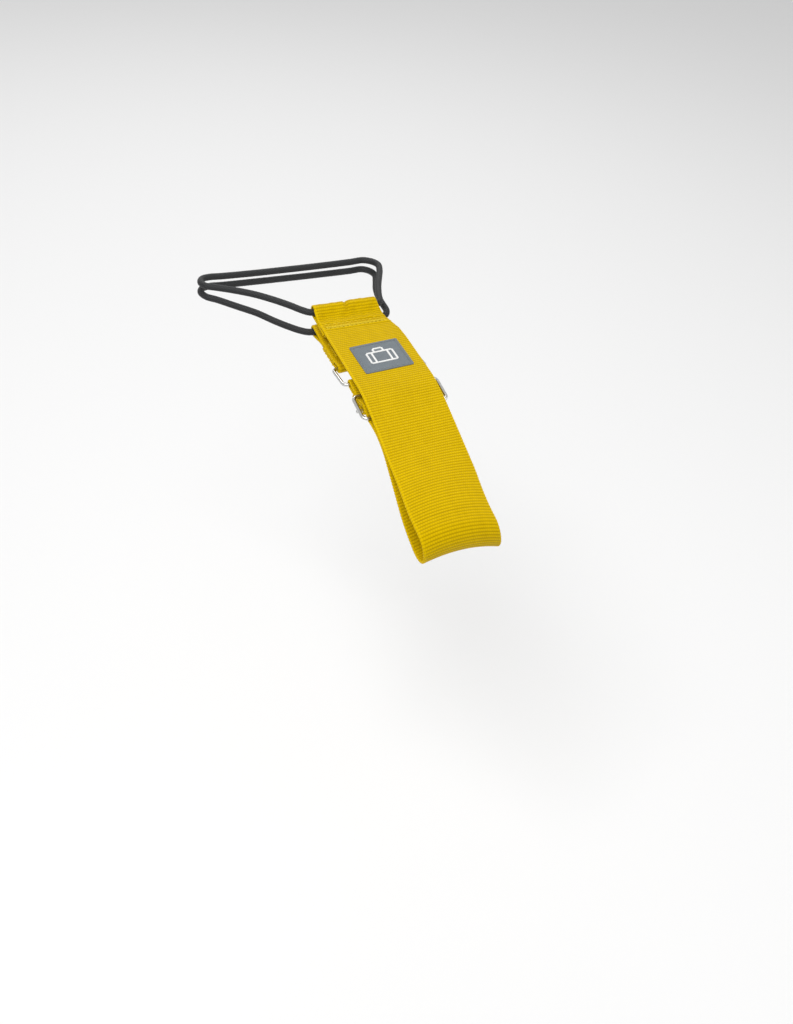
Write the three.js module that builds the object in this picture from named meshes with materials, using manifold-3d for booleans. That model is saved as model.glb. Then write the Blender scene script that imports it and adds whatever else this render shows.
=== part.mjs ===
// An add-a-bag luggage strap, in millimetres, +Z up.
// The origin lies midway between the two tubes of a trolley handle, halfway between the two elastic loops on it.
// +X runs across the strap and +Y points from the second suitcase towards the trolley handle.
import * as THREE from "three";
import Module from "manifold-3d";

// Driving dimensions.
const WEBBING_WIDTH = 50;
const WEBBING_THICKNESS = 1.5;
const CORD_DIAMETER = 4.5;
const WIRE_DIAMETER = 2.4;
const CLEARANCE = 0.3;
const CORD_CLEARANCE = 0.4;
const TUBE_SPACING = 102;
const TUBE_DIAMETER = 19;
const STRAP_X = 23;
const CARRY_HANDLE_DIAMETER = 20.5;
const HANDLE_CLEARANCE = 0.25;
const RING_LENGTH = 21.1;
const SLIDER_LENGTH = 19.5;
const WIRE_CORNER = 3.2;
const LABEL_WIDTH = 33;
const LABEL_LENGTH = 29.5;
const LABEL_THICKNESS = 0.6;
const EMBLEM_THICKNESS = 0.4;
const THREAD_WIDTH = 1.1;
const THREAD_THICKNESS = 0.35;
const SLEEVE_LENGTH = 14;

// Radii of the webbing's middle surface where it goes round something.
const HALF_THICKNESS = WEBBING_THICKNESS / 2;
const LAYER_STEP = WEBBING_THICKNESS + CLEARANCE;
const BAR_RADIUS = WIRE_DIAMETER / 2 + CLEARANCE + HALF_THICKNESS;
const TUNNEL_RADIUS = CORD_DIAMETER / 2 + CORD_CLEARANCE + HALF_THICKNESS;
const HANDLE_RADIUS = CARRY_HANDLE_DIAMETER / 2 + HANDLE_CLEARANCE + HALF_THICKNESS;

// Places in the Y-Z plane, before the strap is rolled.
const UPPER_TUNNEL = { y: -49, z: 4 };
const LOWER_TUNNEL = { y: -50, z: -8.3 };
const UPPER_HEM = { y: -60, z: 1.6 };
const LABEL_START = { y: -92, z: 2.9 };
const CARRY_HANDLE = { y: -239, z: -37 };
const RING_LOWER_BAR = { y: -118.5, z: -4.8 };
const RING_TILT = THREE.MathUtils.degToRad(-5.7);
const SLIDER_LOWER_BAR = { y: -152.6, z: -6.9 };
const SLIDER_TILT = THREE.MathUtils.degToRad(9.5);
const SHOULDER = { y: -129.9, z: -62.9, r: 65 };
const UNDER_CURVE = { y: -163.7, z: -48.4, r: 40 };
const HEM_LENGTH = 23;
const TAIL_END = { y: -125, z: -9.3 };
const TAB_LAYER_Z = -6;
const TAB_INNER_END_Y = -90;
const TAB_OUTER_END_Y = -69;

// The strap rolls a little about its own length, because the two suitcases don't stand square.
const ROLL_AXIS_Z = -5;
const STACK_ROLL = 5.5;
const LABEL_ROLL = 3;
const MIDDLE_ROLL = 4.4;
const HANDLE_ROLL = 1.2;
const STACK_END_Y = -155;
const MIDDLE_Y = -190;
// It also drifts sideways on its way to the carry handle, and leans and arches over it.
const HANDLE_DRIFT = -2.2;
const DRIFT_START_Y = -130;
const HANDLE_LEAN = 0.13;
const LEAN_MIDDLE_Z = -33;
const LEAN_START_Y = -205;
// The upper hem's right-hand corner is drawn in by the cord that leaves it.
const HEM_GATHER = 5.5;
const GATHER_START_Y = -80;
const GATHER_END_Y = -50;
const ARCH_HEIGHT = 4.5;
const ARCH_START_Y = -170;
const ARCH_END_Y = -232;

const COLUMNS = 4;
const STRAIGHT_STEP = 9;
const TURN_STEP = THREE.MathUtils.degToRad(20);
const WIRE_SIDES = 8;

const { clamp, degToRad, mapLinear, smoothstep } = THREE.MathUtils;

const yellow = { color: 0xdab508, roughness: 0.85, metalness: 0 };
const thread = { color: 0xd2ac06, roughness: 0.8, metalness: 0 };
const nickel = { color: 0xc9cbcc, roughness: 0.25, metalness: 1 };
const black = { color: 0x2d2f31, roughness: 0.7, metalness: 0 };
const grey = { color: 0x7d878c, roughness: 0.8, metalness: 0 };
const white = { color: 0xf2f2ee, roughness: 0.7, metalness: 0 };
const brass = { color: 0xb59a55, roughness: 0.4, metalness: 1 };

const part = new THREE.Group();

function add(parent, name, geometry, look) {
  const mesh = new THREE.Mesh(geometry, new THREE.MeshStandardMaterial(look));
  mesh.name = name;
  parent.add(mesh);
  return mesh;
}

// ---- Roll and arch ----

function ramp(y, from, to, low, high) {
  return clamp(mapLinear(y, from, to, low, high), Math.min(low, high), Math.max(low, high));
}

function handleSideRoll(y, start, from) {
  const middle = ramp(y, start, MIDDLE_Y, 0, MIDDLE_ROLL - from);
  return middle + ramp(y, MIDDLE_Y, CARRY_HANDLE.y, 0, HANDLE_ROLL - MIDDLE_ROLL);
}

function upperRoll(y) {
  const hemSide = ramp(y, UPPER_HEM.y - 2, LABEL_START.y, 0, LABEL_ROLL);
  return degToRad(hemSide + handleSideRoll(y, SHOULDER.y + 2, LABEL_ROLL));
}

function lowerRoll(y) {
  return degToRad(STACK_ROLL + handleSideRoll(y, STACK_END_Y, STACK_ROLL));
}

const upper = { roll: upperRoll, gather: HEM_GATHER };
const lower = { roll: lowerRoll, gather: 0 };

function rollAxisZ(y) {
  return ramp(y, STACK_END_Y, CARRY_HANDLE.y, ROLL_AXIS_Z, CARRY_HANDLE.z);
}

function settle(across, y, z, { roll, gather }) {
  const drawnIn = ramp(y, GATHER_START_Y, GATHER_END_Y, 0, (2 * gather) / WEBBING_WIDTH);
  const x = across > 0 ? across * (1 - drawnIn) : across;
  const edge = (2 * x) / WEBBING_WIDTH;
  const lift = ARCH_HEIGHT * (1 - smoothstep(y, ARCH_END_Y, ARCH_START_Y)) * (1 - edge * edge);
  const drift = HANDLE_DRIFT * (1 - smoothstep(y, CARRY_HANDLE.y, DRIFT_START_Y));
  const lean = HANDLE_LEAN * (LEAN_MIDDLE_Z - z) * (1 - smoothstep(y, CARRY_HANDLE.y, LEAN_START_Y));
  const angle = roll(y);
  const axisZ = rollAxisZ(y);
  const up = z - axisZ;
  return [
    STRAP_X + drift + lean + x * Math.cos(angle) - up * Math.sin(angle),
    y,
    axisZ + x * Math.sin(angle) + up * Math.cos(angle) + lift,
  ];
}

// ---- Routes: a strip pulled round a row of circles, in the Y-Z plane ----

// A stop is a circle with the turn made round it, 1 to the left and -1 to the right, or a point with no radius.
const stop = (place, r = 0, turn = 1) => ({ y: place.y, z: place.z, r: r * turn });

// The straight stretches that touch one stop after another.
function stretches(stops) {
  return stops.slice(1).map((to, i) => {
    const from = stops[i];
    const y = to.y - from.y;
    const z = to.z - from.z;
    const heading = Math.atan2(z, y) - Math.asin((to.r - from.r) / Math.hypot(y, z));
    const touch = (s) => ({ y: s.y + s.r * Math.sin(heading), z: s.z - s.r * Math.cos(heading) });
    return { heading, start: touch(from), end: touch(to) };
  });
}

// The points of the arc round a stop, between the stretch that reaches it and the one that leaves it.
function arcRound(s, before, after) {
  const full = 2 * Math.PI;
  const turned = (((after - before) % full) + full) % full;
  const sweep = s.r >= 0 ? turned : turned - full;
  if (s.r === 0 || Math.abs(sweep) > 1.7 * Math.PI) return [];
  const count = Math.max(1, Math.ceil(Math.abs(sweep) / TURN_STEP));
  return Array.from({ length: count + 1 }, (_, i) => {
    const heading = before + (sweep * i) / count;
    return { y: s.y + s.r * Math.sin(heading), z: s.z - s.r * Math.cos(heading) };
  });
}

const between = (a, b, share) => ({ y: a.y + (b.y - a.y) * share, z: a.z + (b.z - a.z) * share });
const gapBetween = (a, b) => Math.hypot(b.y - a.y, b.z - a.z);

// The line along a route, from a share of one stretch to a share of another.
function lineAlong(stops, from = 0, fromShare = 0, to = stops.length - 2, toShare = 1) {
  const straight = stretches(stops);
  const points = [];
  for (let i = from; i <= to; i++) {
    const { start, end } = straight[i];
    points.push(between(start, end, i === from ? fromShare : 0));
    points.push(between(start, end, i === to ? toShare : 1));
    if (i < to) points.push(...arcRound(stops[i + 1], straight[i].heading, straight[i + 1].heading));
  }
  return evened(points);
}

// The same line without doubled points, and with its long stretches cut into steps.
function evened(points) {
  const line = [points[0]];
  for (const point of points.slice(1)) {
    const last = line[line.length - 1];
    const far = gapBetween(last, point);
    if (far < 0.05) continue;
    const steps = Math.ceil(far / STRAIGHT_STEP);
    for (let i = 1; i <= steps; i++) line.push(between(last, point, i / steps));
  }
  return line;
}

// The unit normals on the left of a line.
function normals(line) {
  return line.map((_, i) => {
    const a = line[Math.max(i - 1, 0)];
    const b = line[Math.min(i + 1, line.length - 1)];
    const far = gapBetween(a, b);
    return { y: (a.z - b.z) / far, z: (b.y - a.y) / far };
  });
}

// A closed strip along a line: its left and its right side lie half the thickness from the line.
function strip(line, ply, { x = 0, width = WEBBING_WIDTH, thickness = WEBBING_THICKNESS } = {}) {
  const left = normals(line);
  const columns = width > WEBBING_WIDTH / 2 ? COLUMNS : 2;
  const positions = [];
  line.forEach((point, i) => {
    for (const side of [thickness / 2, -thickness / 2]) {
      for (let j = 0; j <= columns; j++) {
        const across = x + (j / columns - 0.5) * width;
        positions.push(...settle(across, point.y + left[i].y * side, point.z + left[i].z * side, ply));
      }
    }
  });
  const row = 2 * (columns + 1);
  const at = (i, side, j) => i * row + side * (columns + 1) + j;
  const index = [];
  const quad = (a, b, c, d) => index.push(a, b, c, a, c, d);
  for (let i = 0; i < line.length - 1; i++) {
    for (let j = 0; j < columns; j++) {
      quad(at(i, 0, j), at(i, 0, j + 1), at(i + 1, 0, j + 1), at(i + 1, 0, j));
      quad(at(i, 1, j + 1), at(i, 1, j), at(i + 1, 1, j), at(i + 1, 1, j + 1));
    }
    quad(at(i, 1, 0), at(i, 0, 0), at(i + 1, 0, 0), at(i + 1, 1, 0));
    quad(at(i, 0, columns), at(i, 1, columns), at(i + 1, 1, columns), at(i + 1, 0, columns));
  }
  const last = line.length - 1;
  for (let j = 0; j < columns; j++) {
    quad(at(0, 0, j), at(0, 1, j), at(0, 1, j + 1), at(0, 0, j + 1));
    quad(at(last, 0, j), at(last, 0, j + 1), at(last, 1, j + 1), at(last, 1, j));
  }
  const geometry = new THREE.BufferGeometry();
  geometry.setAttribute("position", new THREE.Float32BufferAttribute(positions, 3));
  geometry.setIndex(index);
  return geometry;
}

// The line moved to its left by a distance, or to its right by a negative one.
function beside(line, distance) {
  return normals(line).map((n, i) => ({ y: line[i].y + n.y * distance, z: line[i].z + n.z * distance }));
}

// The part of a line that lies between two Y values, ends cut to them.
function cutAtY(line, highY, lowY) {
  const cut = [];
  for (let i = 0; i < line.length - 1; i++) {
    const [a, b] = [line[i], line[i + 1]];
    const share = (y) => (y - a.y) / (b.y - a.y);
    for (const y of [highY, lowY]) {
      if ((a.y - y) * (b.y - y) < 0) cut.push(between(a, b, share(y)));
    }
    if (b.y < highY && b.y > lowY) cut.push(b);
  }
  return cut.sort((a, b) => b.y - a.y);
}

// ---- Places that follow from the ring and the slider ----

const along = (place, length, tilt) => ({
  y: place.y + length * Math.cos(tilt),
  z: place.z + length * Math.sin(tilt),
});
const RING_UPPER_BAR = along(RING_LOWER_BAR, RING_LENGTH, RING_TILT);
const SLIDER_UPPER_BAR = along(SLIDER_LOWER_BAR, SLIDER_LENGTH, SLIDER_TILT);
const SLIDER_MIDDLE = along(SLIDER_LOWER_BAR, SLIDER_LENGTH / 2, SLIDER_TILT);
const SLIDER_BAR_DROP = WIRE_DIAMETER + CLEARANCE;
const SLIDER_BAR = along(SLIDER_MIDDLE, SLIDER_BAR_DROP, SLIDER_TILT - Math.PI / 2);

// ---- Main webbing ----

const HEM_STEP = 8;
const HEM_END = { y: UPPER_HEM.y + 1 - HEM_LENGTH / 2, z: UPPER_HEM.z - LAYER_STEP - 0.6 };
const mainStops = [
  stop(HEM_END),
  stop(UPPER_TUNNEL, TUNNEL_RADIUS, 1),
  stop({ y: UPPER_HEM.y, z: UPPER_HEM.z + HEM_STEP }, HEM_STEP, -1),
  stop(LABEL_START),
  stop(SHOULDER, SHOULDER.r, 1),
  stop(CARRY_HANDLE, HANDLE_RADIUS, 1),
  stop(UNDER_CURVE, UNDER_CURVE.r, -1),
  stop(SLIDER_LOWER_BAR, BAR_RADIUS, 1),
  stop(SLIDER_BAR, BAR_RADIUS + LAYER_STEP, -1),
  stop(SLIDER_UPPER_BAR, BAR_RADIUS, 1),
  stop(RING_LOWER_BAR, BAR_RADIUS, -1),
  stop(SLIDER_UPPER_BAR, BAR_RADIUS + LAYER_STEP, -1),
  stop(SLIDER_BAR, BAR_RADIUS, 1),
  stop(TAIL_END),
];
// The stretches between those stops, where the strip is cut into its runs.
const TO_HANDLE = 4;
const FROM_HANDLE = 5;
const TO_SLIDER = 6;
const TO_RING = 9;
const FROM_RING = 10;

const mainStretches = stretches(mainStops);
const lengthOf = (i) => gapBetween(mainStretches[i].start, mainStretches[i].end);
const gapShare = (i) => CLEARANCE / lengthOf(i);

const BEND_START = 0.93;
const BEND_END = 0.1;
const UNDER_RUN_END = 0.88;
const WEAVE_START = 0.75;
const WEAVE_END = 0.18;
const LOOP_START = 0.72;

const upperLine = lineAlong(mainStops, 0, 0, TO_HANDLE, BEND_START - gapShare(TO_HANDLE));
add(part, "upper_webbing", strip(upperLine, upper), yellow);

const bendLine = lineAlong(mainStops, TO_HANDLE, BEND_START, FROM_HANDLE, BEND_END);
add(part, "handle_bend_webbing", strip(bendLine, upper), yellow);

const underLine = lineAlong(
  mainStops, FROM_HANDLE, BEND_END + gapShare(FROM_HANDLE), FROM_HANDLE, UNDER_RUN_END - gapShare(FROM_HANDLE),
);
add(part, "lower_webbing", strip(underLine, lower), yellow);

const feedLine = lineAlong(mainStops, FROM_HANDLE, UNDER_RUN_END, TO_SLIDER, WEAVE_START);
add(part, "feed_webbing", strip(feedLine, lower), yellow);

const weaveLine = lineAlong(mainStops, TO_SLIDER, WEAVE_START + gapShare(TO_SLIDER), TO_RING, WEAVE_END);
add(part, "slider_weave_webbing", strip(weaveLine, lower), yellow);

const turnLine = lineAlong(
  mainStops, TO_RING, WEAVE_END + gapShare(TO_RING), FROM_RING, LOOP_START - gapShare(FROM_RING),
);
add(part, "ring_turn_webbing", strip(turnLine, lower), yellow);

const endLine = lineAlong(mainStops, FROM_RING, LOOP_START);
add(part, "sewn_end_webbing", strip(endLine, lower), yellow);

// ---- Tab ----

const TAB_STEP = 8;
const TAB_HEM_Y = -66;
const innerLayerZ = TAB_LAYER_Z - LAYER_STEP - 0.05;
const outerLayerZ = innerLayerZ - LAYER_STEP - 0.05;
const tabStops = [
  stop({ y: TAB_INNER_END_Y, z: innerLayerZ }),
  stop({ y: TAB_HEM_Y, z: innerLayerZ - TAB_STEP }, TAB_STEP, -1),
  stop(LOWER_TUNNEL, TUNNEL_RADIUS, 1),
  stop({ y: TAB_HEM_Y, z: TAB_LAYER_Z + TAB_STEP }, TAB_STEP, -1),
  stop({ y: TAB_INNER_END_Y + 2, z: TAB_LAYER_Z + TAB_STEP }, TAB_STEP, -1),
  stop(RING_UPPER_BAR, BAR_RADIUS, 1),
  stop({ y: TAB_INNER_END_Y, z: outerLayerZ }),
  stop({ y: TAB_OUTER_END_Y, z: outerLayerZ }),
];
const tabLine = lineAlong(tabStops);
add(part, "tab_webbing", strip(tabLine, lower), yellow);

// ---- Wire ring and slider ----

// Everything under the label shares one roll, so its rigid pieces hang in one rolled group.
const stack = new THREE.Group();
stack.position.set(STRAP_X, 0, ROLL_AXIS_Z);
stack.rotation.y = -degToRad(STACK_ROLL);
part.add(stack);

const LEG_X = WEBBING_WIDTH / 2 + 0.2 + WIRE_CORNER - CLEARANCE;

// A closed rectangle of wire with rounded corners: half-width in X, length in Y from its lower bar at 0.
function wireRectangle(length) {
  const corners = [
    [LEG_X - WIRE_CORNER, length - WIRE_CORNER, 0],
    [WIRE_CORNER - LEG_X, length - WIRE_CORNER, 1],
    [WIRE_CORNER - LEG_X, WIRE_CORNER, 2],
    [LEG_X - WIRE_CORNER, WIRE_CORNER, 3],
  ];
  const cornerSteps = 4;
  const sections = corners.flatMap(([x, y, quarter]) =>
    Array.from({ length: cornerSteps + 1 }, (_, i) => {
      const angle = ((quarter + i / cornerSteps) * Math.PI) / 2;
      return { x, y, out: new THREE.Vector2(Math.cos(angle), Math.sin(angle)) };
    }),
  );
  const positions = [];
  for (const { x, y, out } of sections) {
    for (let k = 0; k < WIRE_SIDES; k++) {
      const angle = ((k + 0.5) * 2 * Math.PI) / WIRE_SIDES;
      const reach = WIRE_CORNER + (WIRE_DIAMETER / 2) * Math.cos(angle);
      positions.push(x + out.x * reach, y + out.y * reach, (WIRE_DIAMETER / 2) * Math.sin(angle));
    }
  }
  const index = [];
  for (let i = 0; i < sections.length; i++) {
    const next = (i + 1) % sections.length;
    for (let k = 0; k < WIRE_SIDES; k++) {
      const up = (k + 1) % WIRE_SIDES;
      const [a, b, c, d] = [
        i * WIRE_SIDES + k, next * WIRE_SIDES + k, next * WIRE_SIDES + up, i * WIRE_SIDES + up,
      ];
      index.push(a, b, c, a, c, d);
    }
  }
  const geometry = new THREE.BufferGeometry();
  geometry.setAttribute("position", new THREE.Float32BufferAttribute(positions, 3));
  geometry.setIndex(index);
  return geometry;
}

const ring = add(stack, "tab_ring", wireRectangle(RING_LENGTH), nickel);
ring.position.set(0, RING_LOWER_BAR.y, RING_LOWER_BAR.z - ROLL_AXIS_Z);
ring.rotation.x = RING_TILT;

const slider = new THREE.Group();
slider.position.set(0, SLIDER_LOWER_BAR.y, SLIDER_LOWER_BAR.z - ROLL_AXIS_Z);
slider.rotation.x = SLIDER_TILT;
stack.add(slider);
add(slider, "slider_frame", wireRectangle(SLIDER_LENGTH), nickel);

const barLength = 2 * LEG_X + WIRE_DIAMETER;
const bar = add(
  slider, "slider_bar", new THREE.CylinderGeometry(WIRE_DIAMETER / 2, WIRE_DIAMETER / 2, barLength, WIRE_SIDES), nickel,
);
bar.rotation.z = Math.PI / 2;
bar.position.set(0, SLIDER_LENGTH / 2, -SLIDER_BAR_DROP);

// ---- Label and its emblem, on the flat stretch of the upper ply ----

const labelFrom = { y: mainStretches[3].start.y, z: mainStretches[3].start.z };
const labelTo = { y: mainStretches[3].end.y, z: mainStretches[3].end.z };
const labelSlope = Math.atan2(labelFrom.z - labelTo.z, labelFrom.y - labelTo.y);
const labelRollGroup = new THREE.Group();
labelRollGroup.position.set(STRAP_X, 0, ROLL_AXIS_Z);
labelRollGroup.rotation.y = -degToRad(LABEL_ROLL);
part.add(labelRollGroup);
const labelPlate = new THREE.Group();
const LABEL_X = 1;
const LABEL_Y = -108.2;
const LABEL_SKEW = degToRad(1.2);
const labelShare = (LABEL_Y - labelFrom.y) / (labelTo.y - labelFrom.y);
const labelMiddle = between(labelFrom, labelTo, labelShare);
labelPlate.position.set(LABEL_X, labelMiddle.y, labelMiddle.z - ROLL_AXIS_Z);
labelPlate.rotation.set(labelSlope, 0, LABEL_SKEW);
labelRollGroup.add(labelPlate);

function rectangle(width, height, radius, Kind = THREE.Shape) {
  const [x, y] = [width / 2, height / 2];
  const shape = new Kind();
  shape.moveTo(radius - x, -y);
  shape.lineTo(x - radius, -y);
  shape.absarc(x - radius, radius - y, radius, -Math.PI / 2, 0, false);
  shape.lineTo(x, y - radius);
  shape.absarc(x - radius, y - radius, radius, 0, Math.PI / 2, false);
  shape.lineTo(radius - x, y);
  shape.absarc(radius - x, y - radius, radius, Math.PI / 2, Math.PI, false);
  shape.lineTo(-x, radius - y);
  shape.absarc(radius - x, radius - y, radius, Math.PI, 1.5 * Math.PI, false);
  return shape;
}

function plate(shape, depth) {
  return new THREE.ExtrudeGeometry(shape, { depth, bevelEnabled: false, curveSegments: 3 });
}

const labelBottom = HALF_THICKNESS + CLEARANCE;
const label = add(
  labelPlate, "woven_label", plate(rectangle(LABEL_WIDTH, LABEL_LENGTH, 1), LABEL_THICKNESS), grey,
);
label.position.z = labelBottom;

const labelTop = labelBottom + LABEL_THICKNESS + CLEARANCE;
const STITCH_INSET = 1.6;
const seamShape = rectangle(LABEL_WIDTH - STITCH_INSET, LABEL_LENGTH - STITCH_INSET, 0.8);
const SEAM_WIDTH = 0.8;
seamShape.holes.push(
  rectangle(
    LABEL_WIDTH - STITCH_INSET - 2 * SEAM_WIDTH, LABEL_LENGTH - STITCH_INSET - 2 * SEAM_WIDTH, 0.4, THREE.Path,
  ),
);
const seam = add(labelPlate, "label_seam_thread", plate(seamShape, THREAD_THICKNESS), grey);
seam.position.z = labelTop;

// A plain suitcase: a box with two straps and a handle, each field inside its outline cut through.
const wasm = await Module();
wasm.setup();
const slab = (left, right, bottom, top, depth) =>
  wasm.Manifold.cube([right - left, top - bottom, depth], true).translate([(left + right) / 2, (bottom + top) / 2, 0]);

function suitcaseEmblem() {
  const CASE_WIDTH = 19;
  const CASE_HEIGHT = 12;
  const LINE = 1.3;
  const GRIP_WIDTH = 7.6;
  const GRIP_HEIGHT = 3.6;
  const STRAP_AT = 5.4;
  const [x, y, grip] = [CASE_WIDTH / 2, CASE_HEIGHT / 2, GRIP_WIDTH / 2];
  const field = (left, right, bottom, top) => slab(left, right, bottom, top, 2 * EMBLEM_THICKNESS);
  const solid = slab(-x, x, -y, y, EMBLEM_THICKNESS)
    .add(slab(-grip, grip, y - LINE, y + GRIP_HEIGHT, EMBLEM_THICKNESS))
    .subtract(field(LINE - x, -STRAP_AT - LINE / 2, LINE - y, y - LINE))
    .subtract(field(LINE / 2 - STRAP_AT, STRAP_AT - LINE / 2, LINE - y, y - LINE))
    .subtract(field(STRAP_AT + LINE / 2, x - LINE, LINE - y, y - LINE))
    .subtract(field(LINE - grip, grip - LINE, y, y + GRIP_HEIGHT - LINE));
  const { vertProperties, triVerts } = solid.getMesh();
  const geometry = new THREE.BufferGeometry();
  geometry.setAttribute("position", new THREE.BufferAttribute(vertProperties, 3));
  geometry.setIndex(new THREE.BufferAttribute(triVerts, 1));
  return geometry;
}
const emblem = add(labelPlate, "label_emblem", suitcaseEmblem(), white);
emblem.position.set(0, -1, labelTop + EMBLEM_THICKNESS / 2);

// ---- Stitch rows ----

// A bar of thread on one side of a line, between two Y values.
function threadBar(line, side, nearY, ply, length) {
  const row = beside(line, side * (HALF_THICKNESS + CLEARANCE + THREAD_THICKNESS / 2));
  const cut = cutAtY(row, nearY, nearY - length);
  if (line[0].y < line[line.length - 1].y) cut.reverse();
  return strip(cut, ply, { width: WEBBING_WIDTH - 5, thickness: THREAD_THICKNESS });
}

const topPly = lineAlong(mainStops, 1, 0.3, 3, 1);
add(part, "upper_tunnel_seam", threadBar(topPly, -1, UPPER_HEM.y - 4, upper, THREAD_WIDTH), thread);
add(part, "upper_tunnel_bartack", threadBar(topPly, -1, UPPER_HEM.y - 8, upper, 2 * THREAD_WIDTH), thread);

const tabTopPly = lineAlong(tabStops, 3, 0, 3, 1);
const tabUnderPly = lineAlong(tabStops, 6, 0, 6, 1);
const TAB_SEAM_Y = -72;
add(part, "tab_upper_seam", threadBar(tabTopPly, -1, TAB_SEAM_Y, lower, THREAD_WIDTH), thread);
add(part, "tab_lower_seam", threadBar(tabUnderPly, -1, TAB_SEAM_Y, lower, THREAD_WIDTH), thread);

const tailPly = lineAlong(mainStops, 12, 0, 12, 1);
add(part, "sewn_end_seam", threadBar(tailPly, -1, TAIL_END.y - 2, lower, THREAD_WIDTH), thread);

// ---- Elastic loops ----

const tubeX = TUBE_SPACING / 2;
const wrap = TUBE_DIAMETER / 2 + CORD_DIAMETER / 2 + 0.5;

// The tunnels' middles after the roll, and the slant of the lower one.
const upperTunnelPlace = settle(0, UPPER_TUNNEL.y, UPPER_TUNNEL.z, upper);
const lowerTunnelPlace = settle(0, LOWER_TUNNEL.y, LOWER_TUNNEL.z, lower);
const slant = degToRad(STACK_ROLL);
const inTunnel = (place, angle, x) => [
  place[0] + x * Math.cos(angle), place[1], place[2] + x * Math.sin(angle),
];
const sleeveSide = SLEEVE_LENGTH / 2 + CLEARANCE;

const upperRoute = [
  inTunnel(upperTunnelPlace, 0, -sleeveSide),
  inTunnel(upperTunnelPlace, 0, -16),
  inTunnel(upperTunnelPlace, 0, -26.5),
  [-8.6, -45.4, 4.4],
  [-15, -38.6, 5],
  [-24, -30, 5.6],
  [-34, -21.6, 6],
  [-46, -13.6, 6.2],
  [-56, -7.4, 6],
  [-62, -3.4, 5.7],
  [-tubeX - wrap - 0.6, 2, 5.2],
  [-61, 8.8, 4],
  [-54.5, 12, 2.8],
  [-tubeX + 4, wrap, 2.2],
  [-24, wrap, 1.5],
  [0, wrap, 1.2],
  [24, wrap, 1],
  [tubeX - 3, wrap, 1.1],
  [57.5, 12, 1.5],
  [63, 8, 1.9],
  [tubeX + wrap + 1.8, 1.5, 2.7],
  [63, -6.5, 3.2],
  [58.8, -16, 3.8],
  [54.6, -25, 4],
  [51.4, -33, 4],
  [49.2, -39.4, 4],
  [47.8, -44.6, 4],
  [46.4, -47.6, 4],
  inTunnel(upperTunnelPlace, 0, 21),
  inTunnel(upperTunnelPlace, 0, 14),
  inTunnel(upperTunnelPlace, 0, sleeveSide),
];

const lowerRoute = [
  inTunnel(lowerTunnelPlace, slant, -sleeveSide),
  inTunnel(lowerTunnelPlace, slant, -16),
  inTunnel(lowerTunnelPlace, slant, -26.5),
  [-8.6, -47, -10.8],
  [-15, -41.6, -10.2],
  [-23, -34.6, -8.8],
  [-33, -25.6, -6.4],
  [-45, -16.4, -4.6],
  [-55.5, -8.4, -3],
  [-61.8, -3.8, -2.4],
  [-tubeX - wrap - 0.6, 2, -2.4],
  [-61, 8.8, -3.4],
  [-54.5, 12, -4.3],
  [-tubeX + 4, wrap, -4.8],
  [-24, wrap, -5.3],
  [0, wrap, -5.7],
  [24, wrap, -6],
  [tubeX - 3, wrap, -6.1],
  [57, 11.8, -5.6],
  [61.6, 7.6, -5.3],
  [63.2, 1.2, -5.1],
  [60.6, -7, -5],
  [56.8, -17, -5],
  [54.6, -27, -5],
  [53.9, -37, -5.2],
  [53.7, -44.2, -5.5],
  [52, -48.3, -5.7],
  inTunnel(lowerTunnelPlace, slant, 26.5),
  inTunnel(lowerTunnelPlace, slant, 15),
  inTunnel(lowerTunnelPlace, slant, sleeveSide),
];

function cord(route) {
  const path = new THREE.CatmullRomCurve3(route.map((p) => new THREE.Vector3(...p)), false, "centripetal");
  const section = new THREE.Shape();
  section.absarc(0, 0, CORD_DIAMETER / 2, 0, 2 * Math.PI, false);
  return new THREE.ExtrudeGeometry(section, {
    steps: 56, curveSegments: 4, bevelEnabled: false, extrudePath: path,
  });
}
add(part, "upper_elastic_loop", cord(upperRoute), black);
add(part, "lower_elastic_loop", cord(lowerRoute), black);

// A crimp sleeve with three pressed grooves, lying along X.
function crimpSleeve() {
  const [outer, groove, half] = [CORD_DIAMETER / 2 + 0.1, CORD_DIAMETER / 2 - 0.3, SLEEVE_LENGTH / 2];
  const profile = [new THREE.Vector2(0, -half), new THREE.Vector2(outer, -half)];
  for (const middle of [-4, 0, 4]) {
    profile.push(new THREE.Vector2(outer, middle - 1.2), new THREE.Vector2(groove, middle - 0.6));
    profile.push(new THREE.Vector2(groove, middle + 0.6), new THREE.Vector2(outer, middle + 1.2));
  }
  profile.push(new THREE.Vector2(outer, half), new THREE.Vector2(0, half));
  return new THREE.LatheGeometry(profile, 12);
}
const upperSleeve = add(part, "upper_crimp_sleeve", crimpSleeve(), brass);
upperSleeve.position.set(...upperTunnelPlace);
upperSleeve.rotation.z = -Math.PI / 2;
const lowerSleeve = add(part, "lower_crimp_sleeve", crimpSleeve(), brass);
lowerSleeve.position.set(...lowerTunnelPlace);
lowerSleeve.rotation.set(0, -slant, -Math.PI / 2);

export default part;
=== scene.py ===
# The looks of an add-a-bag luggage strap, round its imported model. Lengths are in millimetres until a mesh is made.
import math
import random

import bmesh
import bpy
import numpy as np
from mathutils import Matrix, Vector


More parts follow.
